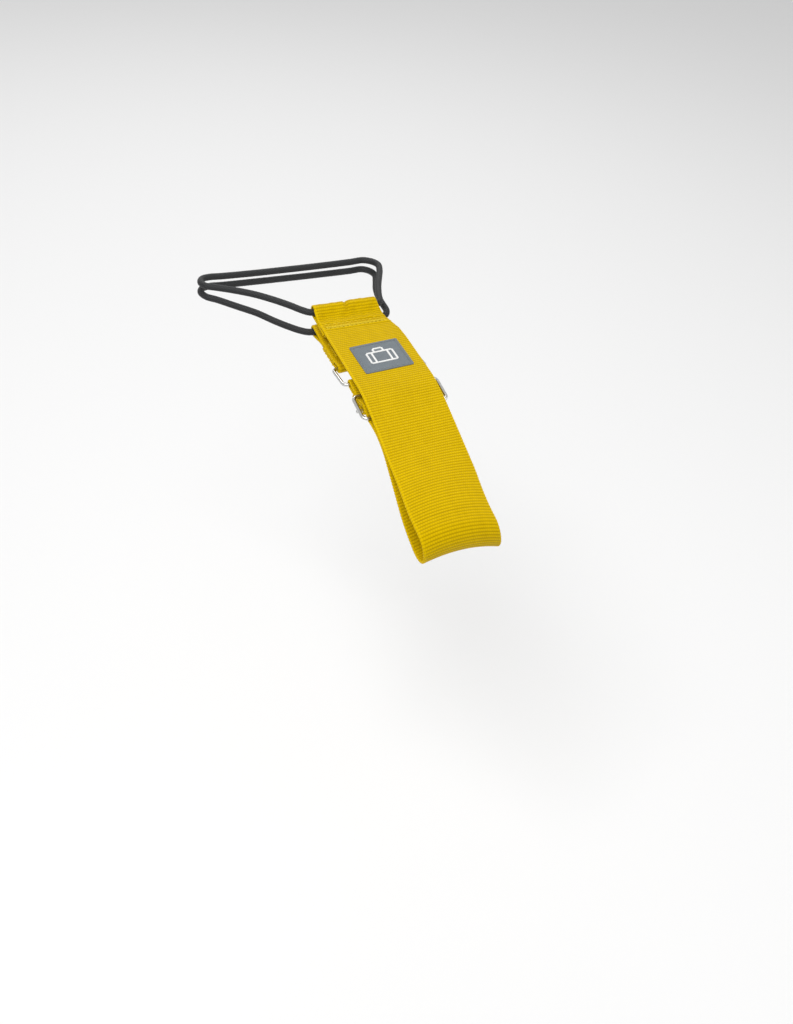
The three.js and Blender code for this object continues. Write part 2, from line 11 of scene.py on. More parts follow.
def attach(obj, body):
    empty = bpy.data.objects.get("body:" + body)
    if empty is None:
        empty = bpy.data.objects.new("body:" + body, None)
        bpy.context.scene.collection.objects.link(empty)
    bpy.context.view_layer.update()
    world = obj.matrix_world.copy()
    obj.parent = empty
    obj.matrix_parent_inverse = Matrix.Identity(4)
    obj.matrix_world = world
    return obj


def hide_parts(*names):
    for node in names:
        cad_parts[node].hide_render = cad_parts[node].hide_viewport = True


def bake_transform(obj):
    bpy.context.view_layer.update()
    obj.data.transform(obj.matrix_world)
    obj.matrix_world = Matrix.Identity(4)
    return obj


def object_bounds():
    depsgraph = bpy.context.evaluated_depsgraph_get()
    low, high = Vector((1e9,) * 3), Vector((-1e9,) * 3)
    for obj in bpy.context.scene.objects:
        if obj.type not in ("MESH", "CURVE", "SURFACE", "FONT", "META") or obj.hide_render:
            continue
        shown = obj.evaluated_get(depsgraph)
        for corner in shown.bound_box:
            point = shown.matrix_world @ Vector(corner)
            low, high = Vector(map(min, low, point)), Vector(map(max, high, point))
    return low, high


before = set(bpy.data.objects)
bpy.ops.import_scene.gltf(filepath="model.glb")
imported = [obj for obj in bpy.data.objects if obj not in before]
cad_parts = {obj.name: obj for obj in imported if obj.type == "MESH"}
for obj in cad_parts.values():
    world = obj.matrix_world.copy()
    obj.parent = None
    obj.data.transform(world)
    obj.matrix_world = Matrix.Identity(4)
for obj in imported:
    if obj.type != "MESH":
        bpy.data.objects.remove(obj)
cad_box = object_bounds()
MM = 0.001
chance = random.Random(7)

# Driving dimensions, as in the CAD part.
WIDTH = 50
CORD_DIAMETER = 4.5
WIRE_DIAMETER = 2.4
CLEARANCE = 0.3
PLY = 1.5
LAYER_STEP = PLY + CLEARANCE
STRAP_X = 23
TUBE_SPACING = 102
TUBE_DIAMETER = 19
RING_LENGTH = 21.1
SLIDER_LENGTH = 19.5
WIRE_CORNER = 3.2
LEG_X = WIDTH / 2 + 0.2 + WIRE_CORNER - CLEARANCE
CARRY_HANDLE_DIAMETER = 20.5
HANDLE_CLEARANCE = 0.25
CORD_CLEARANCE = 0.4
HEM_LENGTH = 23
SLEEVE_LENGTH = 14
LABEL_WIDTH = 33
LABEL_LENGTH = 29.5
LABEL_X = 1
LABEL_Y = -108.2
LABEL_SKEW = math.radians(1.2)
BAR_RADIUS = WIRE_DIAMETER / 2 + CLEARANCE + PLY / 2
TUNNEL_RADIUS = CORD_DIAMETER / 2 + CORD_CLEARANCE + PLY / 2
HANDLE_RADIUS = CARRY_HANDLE_DIAMETER / 2 + HANDLE_CLEARANCE + PLY / 2

# Places in the Y-Z plane, before the strap is rolled.
UPPER_TUNNEL = (-49, 4)
LOWER_TUNNEL = (-50, -8.3)
UPPER_HEM = (-60, 1.6)
LABEL_START = (-92, 2.9)
CARRY_HANDLE = (-239, -37)
RING_LOWER_BAR = (-118.5, -4.8)
RING_TILT = math.radians(-5.7)
SLIDER_LOWER_BAR = (-152.6, -6.9)
SLIDER_TILT = math.radians(9.5)
SHOULDER = (-129.9, -62.9)
SHOULDER_RADIUS = 65
UNDER_CURVE = (-163.7, -48.4)
UNDER_CURVE_RADIUS = 40
HEM_END = (UPPER_HEM[0] + 1 - HEM_LENGTH / 2, UPPER_HEM[1] - LAYER_STEP - 0.6)
HEM_CURVE = 8
TAIL_END = (-125, -9.3)
TAB_LAYER_Z = -6
TAB_INNER_END_Y = -90
TAB_OUTER_END_Y = -69
TAB_HEM_Y = -66
TAB_CURVE = 8
TAIL_ROWS_Y = (-128, -131)
TAB_ROWS_Y = (-72, -86)

# What the eye sees of the cloth, and the cord's jacket. CLOTH is from the middle of a ply to the crests of its ribs,
# which stand a little proud of the CAD's plain ply. THREAD is a radius.
RIB_PITCH = 2.0
RIB_DEPTH = 0.14
RIB_NARROWING = 0.28
YARN_PITCH = 1.45
CLOTH = 0.85
ROW_STEP = 0.4
THREAD = 0.33
BRAID_CARRIERS = 8
BRAID_LEAN = 0.42
BRAID_DEPTH = 0.05


# ---- Camera, at the photograph's angle ----

CAMERA_PLACE = (-0.2553, -0.7022, 0.4364)
CAMERA_AZIMUTH = math.radians(-27.056)
CAMERA_ELEVATION = math.radians(40.567)
CAMERA_ROLL = math.radians(7.093)
LENS = 42.95

level = Vector((math.cos(CAMERA_AZIMUTH), math.sin(CAMERA_AZIMUTH), 0))
back = Vector((
    math.sin(CAMERA_AZIMUTH) * math.cos(CAMERA_ELEVATION),
    -math.cos(CAMERA_AZIMUTH) * math.cos(CAMERA_ELEVATION),
    math.sin(CAMERA_ELEVATION),
))
right = level * math.cos(CAMERA_ROLL) + back.cross(level) * math.sin(CAMERA_ROLL)
up = back.cross(right)
camera = bpy.data.objects.new("camera", bpy.data.cameras.new("camera"))
camera.data.lens = LENS
camera.matrix_world = Matrix.Translation(CAMERA_PLACE) @ Matrix((right, up, back)).transposed().to_4x4()
camera.data.clip_start = 0.01
bpy.context.scene.collection.objects.link(camera)
bpy.context.scene.camera = camera


# ---- Roll, drift and arch of the strap ----

def ramp(y, start, end, low, high):
    return low + (high - low) * np.clip((y - start) / (end - start), 0, 1)


def smooth(y, start, end):
    t = np.clip((y - start) / (end - start), 0, 1)
    return t * t * (3 - 2 * t)


ROLL_AXIS_Z = -5
STACK_ROLL = 5.5
LABEL_ROLL = 3
MIDDLE_ROLL = 4.4
HANDLE_ROLL = 1.2
STACK_END_Y = -155
MIDDLE_Y = -190
HANDLE_DRIFT = -2.2
DRIFT_START_Y = -130
HANDLE_LEAN = 0.13
LEAN_MIDDLE_Z = -33
LEAN_START_Y = -205
HEM_GATHER = 5.5
GATHER_START_Y = -80
GATHER_END_Y = -50
ARCH_HEIGHT = 4.5
ARCH_START_Y = -170
ARCH_END_Y = -232


def handle_side_roll(y, start, roll):
    to_middle = ramp(y, start, MIDDLE_Y, 0, MIDDLE_ROLL - roll)
    return to_middle + ramp(y, MIDDLE_Y, CARRY_HANDLE[0], 0, HANDLE_ROLL - MIDDLE_ROLL)


def upper_roll(y):
    hem_side = ramp(y, UPPER_HEM[0] - 2, LABEL_START[0], 0, LABEL_ROLL)
    return np.radians(hem_side + handle_side_roll(y, SHOULDER[0] + 2, LABEL_ROLL))


def lower_roll(y):
    return np.radians(STACK_ROLL + handle_side_roll(y, STACK_END_Y, STACK_ROLL))


UPPER = {"roll": upper_roll, "gather": HEM_GATHER}
LOWER = {"roll": lower_roll, "gather": 0}


def settle(across, y, z, ply):
    """A point of the flat, straight strap, moved to where the strap lies."""
    drawn_in = ramp(y, GATHER_START_Y, GATHER_END_Y, 0, 2 * ply["gather"] / WIDTH)
    x = np.where(across > 0, across * (1 - drawn_in), across)
    edge = 2 * x / WIDTH
    lift = ARCH_HEIGHT * (1 - smooth(y, ARCH_END_Y, ARCH_START_Y)) * (1 - edge * edge)
    drift = HANDLE_DRIFT * (1 - smooth(y, CARRY_HANDLE[0], DRIFT_START_Y))
    lean = HANDLE_LEAN * (LEAN_MIDDLE_Z - z) * (1 - smooth(y, CARRY_HANDLE[0], LEAN_START_Y))
    angle = ply["roll"](y)
    axis_z = ramp(y, STACK_END_Y, CARRY_HANDLE[0], ROLL_AXIS_Z, CARRY_HANDLE[1])
    over = z - axis_z
    return np.stack([
        STRAP_X + drift + lean + x * np.cos(angle) - over * np.sin(angle),
        y + 0 * x,
        axis_z + x * np.sin(angle) + over * np.cos(angle) + lift,
    ], axis=-1)


# ---- Routes: a strip pulled round a row of circles ----

class Route:
    """A strip's middle line: straight stretches and the arcs between them, measured along it from 0."""

    LINE_STEP = 0.25

    def __init__(self, *stops):
        stretches = [self.stretch(a, b) for a, b in zip(stops, stops[1:])]
        points, self.first, self.last = [], [], []
        for i, (heading, start, end) in enumerate(stretches):
            self.first.append(len(points))
            count = max(2, round(math.dist(start, end) / self.LINE_STEP))
            points += [(start[0] + (end[0] - start[0]) * k / count, start[1] + (end[1] - start[1]) * k / count)
                       for k in range(count + 1)]
            self.last.append(len(points) - 1)
            if i + 1 < len(stretches):
                points += self.arc(stops[i + 1], heading, stretches[i + 1][0])
        self.points = np.array(points)
        steps = np.hypot(*np.diff(self.points, axis=0).T)
        self.s = np.concatenate([[0], np.cumsum(steps)])

    @staticmethod
    def stretch(a, b):
        y, z = b[0] - a[0], b[1] - a[1]
        heading = math.atan2(z, y) - math.asin((b[2] - a[2]) / math.hypot(y, z))
        start, end = ((s[0] + s[2] * math.sin(heading), s[1] - s[2] * math.cos(heading)) for s in (a, b))
        return heading, start, end

    @classmethod
    def arc(cls, s, before, after):
        turned = (after - before) % (2 * math.pi)
        sweep = turned if s[2] >= 0 else turned - 2 * math.pi
        if s[2] == 0 or abs(sweep) > 1.7 * math.pi:
            return []
        count = max(2, round(abs(sweep * s[2]) / cls.LINE_STEP))
        headings = [before + sweep * k / count for k in range(1, count)]
        return [(s[0] + s[2] * math.sin(h), s[1] - s[2] * math.cos(h)) for h in headings]

    def share(self, i, part):
        """How far along the route a share of stretch i is."""
        return float(self.s[self.first[i]] * (1 - part) + self.s[self.last[i]] * part)

    def at_y(self, i, y):
        """How far along the route stretch i passes that Y."""
        start, end = self.points[self.first[i]][0], self.points[self.last[i]][0]
        return self.share(i, (y - start) / (end - start))

    def point(self, s):
        return np.stack([np.interp(s, self.s, self.points[:, 0]), np.interp(s, self.s, self.points[:, 1])], axis=-1)

    def place(self, flat, ply):
        """Points (along, across, height) of the flat strip, where the strip lies."""
        s, across, height = flat[..., 0], flat[..., 1], flat[..., 2]
        here = self.point(s)
        inside = np.clip(s, 0.5, self.s[-1] - 0.5)
        ahead = self.point(inside + 0.5) - self.point(inside - 0.5)
        ahead /= np.linalg.norm(ahead, axis=-1, keepdims=True)
        beyond = (s - np.clip(s, 0, self.s[-1]))[..., None]
        here = here + ahead * beyond
        return settle(across, here[..., 0] - ahead[..., 1] * height, here[..., 1] + ahead[..., 0] * height, ply)


def stop(place, radius=0, turn=1):
    return (*place, radius * turn)


def along(place, length, tilt):
    return (place[0] + length * math.cos(tilt), place[1] + length * math.sin(tilt))


RING_UPPER_BAR = along(RING_LOWER_BAR, RING_LENGTH, RING_TILT)
SLIDER_UPPER_BAR = along(SLIDER_LOWER_BAR, SLIDER_LENGTH, SLIDER_TILT)
SLIDER_MIDDLE = along(SLIDER_LOWER_BAR, SLIDER_LENGTH / 2, SLIDER_TILT)
SLIDER_BAR = along(SLIDER_MIDDLE, WIRE_DIAMETER + CLEARANCE, SLIDER_TILT - math.pi / 2)

main = Route(
    stop(HEM_END),
    stop(UPPER_TUNNEL, TUNNEL_RADIUS),
    stop((UPPER_HEM[0], UPPER_HEM[1] + HEM_CURVE), HEM_CURVE, -1),
    stop(LABEL_START),
    stop(SHOULDER, SHOULDER_RADIUS),
    stop(CARRY_HANDLE, HANDLE_RADIUS),
    stop(UNDER_CURVE, UNDER_CURVE_RADIUS, -1),
    stop(SLIDER_LOWER_BAR, BAR_RADIUS),
    stop(SLIDER_BAR, BAR_RADIUS + LAYER_STEP, -1),
    stop(SLIDER_UPPER_BAR, BAR_RADIUS),
    stop(RING_LOWER_BAR, BAR_RADIUS, -1),
    stop(SLIDER_UPPER_BAR, BAR_RADIUS + LAYER_STEP, -1),
    stop(SLIDER_BAR, BAR_RADIUS),
    stop(TAIL_END),
)
inner_z = TAB_LAYER_Z - LAYER_STEP - 0.05
outer_z = inner_z - LAYER_STEP - 0.05
tab = Route(
    stop((TAB_INNER_END_Y, inner_z)),
    stop((TAB_HEM_Y, inner_z - TAB_CURVE), TAB_CURVE, -1),
    stop(LOWER_TUNNEL, TUNNEL_RADIUS),
    stop((TAB_HEM_Y, TAB_LAYER_Z + TAB_CURVE), TAB_CURVE, -1),
    stop((TAB_INNER_END_Y + 2, TAB_LAYER_Z + TAB_CURVE), TAB_CURVE, -1),
    stop(RING_UPPER_BAR, BAR_RADIUS),
    stop((TAB_INNER_END_Y, outer_z)),
    stop((TAB_OUTER_END_Y, outer_z)),
)
# Where the strap changes from one body to the next, and the rows of its hem, along the main route.
BEND_START = main.share(4, 0.93)
BEND_END = main.share(5, 0.1)
FEED_START = main.share(5, 0.88)
WEAVE_START = main.share(6, 0.75)
WEAVE_END = main.share(9, 0.18)
LOOP_END = main.share(10, 0.72)
HEM_SEAM = main.at_y(2, -64)
BARTACK = main.at_y(2, -68)
TUNNEL_TOP = main.share(1, 0)


# ---- Meshes: grids of rings, with a UV map in millimetres ----

def build(name, grids, material):
    """One object from grids of (points [rows, ring, 3] in mm, u [ring + 1], v [rows]); each grid is a closed tube."""
    points, faces, uv = [], [], []
    for rings, u, v in grids:
        rows, n = rings.shape[:2]
        base = len(points)
        points.extend((rings.reshape(-1, 3) * MM).tolist())
        for i in range(rows - 1):
            a, b = base + i * n, base + (i + 1) * n
            for j in range(n):
                k = (j + 1) % n
                faces.append((a + j, a + k, b + k, b + j))
                uv.extend(((u[j], v[i]), (u[j + 1], v[i]), (u[j + 1], v[i + 1]), (u[j], v[i + 1])))
        for row, order in ((0, range(n - 1, -1, -1)), (rows - 1, range(n))):
            faces.append(tuple(base + row * n + j for j in order))
            uv.extend((u[j], v[row]) for j in order)
    mesh = bpy.data.meshes.new(name)
    mesh.from_pydata(points, [], faces)
    mesh.uv_layers.new(name="flat").data.foreach_set("uv", np.array(uv, np.float32).ravel())
    inside_out = bmesh.new()
    inside_out.from_mesh(mesh)
    if inside_out.calc_volume(signed=True) < 0:
        bmesh.ops.reverse_faces(inside_out, faces=inside_out.faces)
    inside_out.to_mesh(mesh)
    inside_out.free()
    mesh.polygons.foreach_set("use_smooth", [len(p.vertices) <= 4 for p in mesh.polygons])
    mesh.materials.append(material)
    piece = bpy.data.objects.new(name, mesh)
    bpy.context.scene.collection.objects.link(piece)
    return piece


def rib(s):
    return np.abs(np.sin(math.pi * s / RIB_PITCH)) ** 0.8


def cloth_section():
    """Half of the webbing's outline is its upper face, from the left selvedge to the right one, and half its lower."""
    flat = WIDTH / 2 - CLOTH
    face = np.linspace(-flat, flat, 34)
    turn = np.linspace(math.pi / 2, -math.pi / 2, 7)[1:-1]
    across = np.concatenate([face, flat + CLOTH * np.cos(turn), face[::-1], -flat - CLOTH * np.cos(turn)])
    height = np.concatenate([0 * face + CLOTH, CLOTH * np.sin(turn), 0 * face - CLOTH, -CLOTH * np.sin(turn)])
    return across, height


def webbing_grid(route, start, end, ply, ruffle=None, calm=None):
    across, height = cloth_section()
    s = np.linspace(start, end, round((end - start) / ROW_STEP) + 1)
    groove = (1 - rib(s))[:, None]
    if calm:
        groove = groove * calm(s)[:, None]
    flat = np.stack([
        s[:, None] + 0 * across,
        across * (1 - groove * RIB_NARROWING / (WIDTH / 2)),
        height * (1 - groove * RIB_DEPTH / CLOTH),
    ], axis=-1)
    if ruffle:
        flat[..., 2] += ruffle(flat[..., 0], flat[..., 1])
    outline = np.hypot(np.diff(across, append=across[0]), np.diff(height, append=height[0]))
    u = np.concatenate([[0], np.cumsum(outline)]) - WIDTH / 2
    return route.place(flat, ply), u, s


def thread_grid(route, ply, path, radius, squat=1.0):
    """A thread through flat points (along, across, height), with tapered ends."""
    path = np.array(path, float)
    ahead = np.gradient(path, axis=0)
    ahead /= np.linalg.norm(ahead, axis=1, keepdims=True)
    side = np.cross((0, 0, 1), ahead)
    side /= np.linalg.norm(side, axis=1, keepdims=True)
    top = np.cross(ahead, side)
    taper = np.ones(len(path))
    taper[0] = taper[-1] = 0.35
    turn = np.linspace(0, 2 * math.pi, 9)[:-1]
    reach = (radius * taper)[:, None, None]
    rings = path[:, None] + reach * (
        np.cos(turn)[:, None] * side[:, None] + squat * np.sin(turn)[:, None] * top[:, None])
    far = np.concatenate([[0], np.cumsum(np.linalg.norm(np.diff(path, axis=0), axis=1))])
    return route.place(rings, ply), np.linspace(0, 2 * math.pi * radius, 9), far


def stitch(start, end, height):
    """One lockstitch on a face at that height: it rises from the cloth, and dives back into it."""
    share = np.linspace(0, 1, 8)
    arch = THREAD * (1.5 * np.sin(math.pi * share) ** 0.5 - 1.1)
    sign = 1 if height > 0 else -1
    return [(start[0] + (end[0] - start[0]) * t, start[1] + (end[1] - start[1]) * t, height + sign * a)
            for t, a in zip(share, arch)]


def seam(route, ply, start, end, height, pitch=3.0):
    """A row of lockstitches between two flat points (along, across), on a face at that height."""
    count = max(1, round(math.dist(start, end) / pitch))
    start, step = np.array(start), (np.array(end) - start) / count
    gap = 0.25 / np.linalg.norm(step)
    grids = []
    for k in range(count):
        askew = (chance.uniform(-0.12, 0.12), 0)
        grids.append(thread_grid(
            route, ply, stitch(start + step * (k + gap) + askew, start + step * (k + 1 - gap) - askew, height), THREAD))
    return grids


def seam_across(route, ply, s, height, half=22.5):
    return seam(route, ply, (s, -half), (s, half), height)


def zigzag(route, ply, s, height, start, end, reach=1.2, step=0.55):
    count = round((end - start) / step)
    out = math.copysign(1, height)
    path = []
    for k in range(count + 1):
        across = start + (end - start) * k / count
        side = reach if k % 2 else -reach
        path += [(s + 0.5 * side, across - 0.1, height + out * 0.32), (s + side, across, height - out * 0.1)]
    return [thread_grid(route, ply, path, THREAD * 0.85)]


def frayed_end(route, ply, s, way):
    """Warp ends that stand out of a cut edge."""
    grids = []
    for k in range(33):
        across = -23.6 + k * 1.47 + chance.uniform(-0.3, 0.3)
        length = chance.uniform(0.5, 1.9)
        lean, rise = chance.uniform(-0.5, 0.5), chance.uniform(-0.35, 0.35)
        path = [(s + way * length * t, across + lean * t * t, 0.3 * rise + rise * t) for t in (-0.6, 0, 0.35, 0.7, 1)]
        grids.append(thread_grid(route, ply, path, chance.uniform(0.26, 0.42)))
    return grids


def side_fray(route, ply, start, end, across, count):
    """Loose loops of weft where a selvedge has been worn and stitched over."""
    out = math.copysign(1, across)
    grids = []
    for _ in range(count):
        s, rise = chance.uniform(start, end), chance.uniform(-0.5, 0.5)
        reach, lean = chance.uniform(0.35, 0.75), chance.uniform(-0.8, 0.8)
        path = [(s + lean * t, across + out * reach * math.sin(math.pi * t) - 0.4 * out, rise * (0.4 + t))
                for t in (0, 0.25, 0.5, 0.75, 1)]
        grids.append(thread_grid(route, ply, path, chance.uniform(0.2, 0.32)))
    return grids


# ---- Materials ----

class Graph:
    """A Principled material, its nodes and their links."""

    def __init__(self, name, **constants):
        self.material = bpy.data.materials.new(name)
        self.material.use_nodes = True
        self.tree = self.material.node_tree
        self.shader = self.tree.nodes["Principled BSDF"]
        for socket, value in constants.items():
            self.shader.inputs[socket.replace("_", " ")].default_value = value
        self.uv = self.node("ShaderNodeUVMap", uv_map="flat").outputs[0]
        split = self.node("ShaderNodeSeparateXYZ", {0: self.uv})
        self.across, self.along = split.outputs[0], split.outputs[1]

    def node(self, kind, inputs=None, **settings):
        made = self.tree.nodes.new(kind)
        for key, value in settings.items():
            setattr(made, key, value)
        for key, value in (inputs or {}).items():
            self.feed(made.inputs[key], value)
        return made

    def feed(self, socket, value):
        if isinstance(value, bpy.types.NodeSocket):
            self.tree.links.new(value, socket)
        else:
            socket.default_value = value

    def math(self, operation, *values):
        return self.node("ShaderNodeMath", dict(enumerate(values)), operation=operation).outputs[0]

    def mix(self, share, low, high):
        mixed = self.node("ShaderNodeMix", {0: share, 6: (*low, 1), 7: (*high, 1)}, data_type="RGBA")
        return mixed.outputs[2]

    def ridge(self, phase, power):
        """A row of rounded ridges, one for each whole number of phase."""
        sine = self.math("SINE", self.math("MULTIPLY", phase, math.pi))
        return self.math("POWER", self.math("ABSOLUTE", sine), power)

    def noise(self, stretch, detail=3.0):
        scaled = self.node("ShaderNodeVectorMath", {0: self.uv, 1: (*stretch, 1)}, operation="MULTIPLY").outputs[0]
        return self.node("ShaderNodeTexNoise", {"Vector": scaled, "Scale": 1.0, "Detail": detail}).outputs[0]

    def between(self, value, low, high):
        return self.node("ShaderNodeMapRange", {0: value, 3: low, 4: high}).outputs[0]

    def finish(self, colour=None, roughness=None, height=None, depth=0.1, strength=1.0):
        if colour:
            self.feed(self.shader.inputs["Base Color"], colour)
        if roughness:
            self.feed(self.shader.inputs["Roughness"], roughness)
        if height:
            bump = self.node("ShaderNodeBump", {"Height": height, "Distance": depth * MM, "Strength": strength})
            self.feed(self.shader.inputs["Normal"], bump.outputs[0])
        return self.material


def webbing_material():
    """Heavy plain weave: ribs across the strap, each made of warp yarns that step half a yarn from rib to rib."""
    g = Graph(
        "yellow_webbing", Sheen_Weight=0.05, Sheen_Tint=(1, 0.8, 0.1, 1), Specular_IOR_Level=0.16,
        Specular_Tint=(1, 0.8, 0.05, 1))
    row = g.math("DIVIDE", g.along, RIB_PITCH)
    step = g.math("MULTIPLY", g.math("FLOORED_MODULO", g.math("FLOOR", row), 2.0), 0.5)
    yarn = g.ridge(g.math("ADD", g.math("DIVIDE", g.across, YARN_PITCH), step), 0.6)
    ribs = g.ridge(row, 0.75)
    fibre = g.noise((7.0, 1.1))
    weave = g.math("MULTIPLY", ribs, g.math("ADD", g.math("MULTIPLY", yarn, 0.5), 0.5))
    height = g.math("ADD", weave, g.math("MULTIPLY", fibre, 0.22))
    cloudy = g.noise((0.09, 0.05))
    streak = g.noise((0.6, 0.02), 2.0)
    # Painted shade and painted highlight: the weave's relief darkens the colour in the grooves and lightens it on the
    # rib and yarn crests. The cloud and streak noise adds random tone on top.
    tone = g.math("ADD", g.math("MULTIPLY", weave, 0.62), g.math("MULTIPLY", g.math("ADD", cloudy, streak), 0.2))
    each_rib = g.noise((0.04, 0.55), 1.0)
    tone = g.math("ADD", tone, g.math("MULTIPLY", g.math("ADD", fibre, each_rib), 0.14))
    # Painted highlight: a lighter band along each rounded selvedge, where light catches the edge.
    selvedge = g.math("MAXIMUM", g.math("COMPARE", g.across, 24.4, 1.5), g.math("COMPARE", g.across, 75.4, 1.7))
    tone = g.math("ADD", tone, g.math("MULTIPLY", selvedge, 0.3))
    colour = g.mix(tone, (0.235, 0.13, 0.0003), (0.66, 0.44, 0.0008))
    return g.finish(colour, g.between(weave, 0.82, 0.58), height, 0.26, 0.9)


def thread_material(name, low, high, twist=0.9, depth=0.07):
    g = Graph(name, Sheen_Weight=0.04, Specular_IOR_Level=0.3)
    lay = g.ridge(g.math("ADD", g.math("DIVIDE", g.along, twist), g.math("DIVIDE", g.across, twist)), 0.7)
    fuzz = g.noise((9.0, 4.0))
    tone = g.math("ADD", g.math("MULTIPLY", lay, 0.7), g.math("MULTIPLY", fuzz, 0.35))
    return g.finish(g.mix(tone, low, high), g.between(lay, 0.75, 0.5), lay, depth)


def label_material():
    """Fine damask, whose weft shows as a close twill."""
    g = Graph("grey_label", Sheen_Weight=0.05, Specular_IOR_Level=0.3)
    twill = g.ridge(g.math("ADD", g.math("DIVIDE", g.along, 0.42), g.math("DIVIDE", g.across, 0.84)), 0.8)
    weft = g.ridge(g.math("DIVIDE", g.along, 0.42), 0.8)
    cloth = g.math("MULTIPLY", twill, g.math("ADD", g.math("MULTIPLY", weft, 0.4), 0.6))
    cloudy = g.noise((0.25, 0.25))
    tone = g.math("ADD", g.math("MULTIPLY", cloth, 0.65), g.math("MULTIPLY", cloudy, 0.35))
    return g.finish(g.mix(tone, (0.085, 0.10, 0.112), (0.20, 0.23, 0.25)), g.between(cloth, 0.8, 0.6), cloth, 0.07, 0.8)


def wire_material():
    g = Graph("nickel_wire", Metallic=1.0)
    wear = g.noise((0.9, 0.5), 4.0)
    drawn = g.noise((14.0, 0.4))
    return g.finish(
        g.mix(wear, (0.56, 0.55, 0.53), (0.78, 0.78, 0.76)),
        g.between(g.math("MULTIPLY", g.math("ADD", wear, drawn), 0.5), 0.10, 0.34), drawn, 0.02, 0.35)


def cord_material():
    """A braided jacket: two sets of carriers that cross."""
    g = Graph("black_elastic", Sheen_Weight=0.03, Specular_IOR_Level=0.4)
    lean = g.math("MULTIPLY", g.along, BRAID_LEAN)
    turn = g.math("MULTIPLY", g.across, BRAID_CARRIERS / (math.pi * CORD_DIAMETER))
    one, other = g.ridge(g.math("ADD", turn, lean), 0.7), g.ridge(g.math("SUBTRACT", turn, lean), 0.7)
    braid = g.math("MULTIPLY", one, other)
    fuzz = g.noise((5.0, 1.2))
    cloudy = g.noise((0.2, 0.06))
    tone = g.math("ADD", g.math("MULTIPLY", braid, 0.45), g.math("MULTIPLY", g.math("ADD", fuzz, cloudy), 0.28))
    colour = g.mix(tone, (0.004, 0.0042, 0.0045), (0.022, 0.0235, 0.025))
    roughness = g.between(braid, 0.72, 0.48)
    return g.finish(colour, roughness, g.math("ADD", braid, g.math("MULTIPLY", fuzz, 0.2)), 0.14, 0.8)


def brass_material():
    """For a CAD node, which has no flat map: its own coordinates, in millimetres."""
    g = Graph("crimp_brass", Metallic=1.0)
    metres = g.node("ShaderNodeTexCoord").outputs["Object"]
    g.uv = g.node("ShaderNodeVectorMath", {0: metres, "Scale": 1 / MM}, operation="SCALE").outputs[0]
    wear = g.noise((0.8, 0.8), 4.0)
    return g.finish(g.mix(wear, (0.36, 0.24, 0.08), (0.60, 0.43, 0.16)), g.between(wear, 0.3, 0.55), wear, 0.03, 0.4)


yellow = webbing_material()
yellow_thread = thread_material("yellow_thread", (0.44, 0.29, 0.002), (0.86, 0.66, 0.01))
grey_thread = thread_material("grey_thread", (0.08, 0.095, 0.105), (0.24, 0.27, 0.29))
white_thread = thread_material("white_thread", (0.55, 0.56, 0.56), (0.90, 0.90, 0.88), 0.32, 0.05)
grey = label_material()
nickel = wire_material()
black = cord_material()
brass = brass_material()


# ---- Elastic loops ----

def spline_through(points, step=0.55):
    """A centripetal Catmull-Rom line, as the CAD's cords follow, in even steps."""
    points = [Vector(p) for p in points]
    ends = [2 * points[0] - points[1], *points, 2 * points[-1] - points[-2]]
    fine = []
    for p0, p1, p2, p3 in zip(ends, ends[1:], ends[2:], ends[3:]):
        t0, t1, t2 = (math.sqrt((b - a).length) for a, b in ((p0, p1), (p1, p2), (p2, p3)))
        m1 = ((p1 - p0) / t0 - (p2 - p0) / (t0 + t1) + (p2 - p1) / t1) * t1
        m2 = ((p2 - p1) / t1 - (p3 - p1) / (t1 + t2) + (p3 - p2) / t2) * t1
        for k in range(40):
            t = k / 40
            fine.append((2 * t**3 - 3 * t**2 + 1) * p1 + (t**3 - 2 * t**2 + t) * m1
                        + (3 * t**2 - 2 * t**3) * p2 + (t**3 - t**2) * m2)
    fine = np.array([*fine, points[-1]])
    far = np.concatenate([[0], np.cumsum(np.linalg.norm(np.diff(fine, axis=0), axis=1))])
    even = np.linspace(0, far[-1], round(far[-1] / step) + 1)
    return np.stack([np.interp(even, far, fine[:, i]) for i in range(3)], axis=1), even


def tube_grid(line, far, radius, sides, relief=None):
    """A round tube that doesn't twist along its line."""
    ahead = np.gradient(line, axis=0)
    ahead /= np.linalg.norm(ahead, axis=1, keepdims=True)
    normal = np.array([0.0, 0.0, 1.0])
    turn = np.linspace(0, 2 * math.pi, sides + 1)
    rings = []
    for point, way, s in zip(line, ahead, far):
        normal = normal - way * (normal @ way)
        normal /= np.linalg.norm(normal)
        side = np.cross(way, normal)
        reach = radius + (relief(turn[:-1], s) if relief else 0 * turn[:-1])
        rings.append(point + reach[:, None] * (np.cos(turn[:-1])[:, None] * normal + np.sin(turn[:-1])[:, None] * side))
    return np.array(rings), turn * radius, far


def braid(turn, s):
    """The jacket's relief, with its carriers where the material has them."""
    lean = 2 * math.pi * (BRAID_LEAN / 2) * s
    around = BRAID_CARRIERS / 2 * turn
    return BRAID_DEPTH * (np.abs(np.sin(around + lean)) * np.abs(np.sin(around - lean)) - 0.5)


def in_tunnel(place, slant, x):
    """A point of a cord inside its tunnel, x mm from the middle."""
    return (place[0] + x * math.cos(slant), place[1], place[2] + x * math.sin(slant))


upper_place = settle(np.array(0.0), np.array(float(UPPER_TUNNEL[0])), UPPER_TUNNEL[1], UPPER)
lower_place = settle(np.array(0.0), np.array(float(LOWER_TUNNEL[0])), LOWER_TUNNEL[1], LOWER)
slant = math.radians(STACK_ROLL)
sleeve_side = SLEEVE_LENGTH / 2 + CLEARANCE
tube_x = TUBE_SPACING / 2
wrap = TUBE_DIAMETER / 2 + CORD_DIAMETER / 2 + 0.5
tunnel_end = 26.5

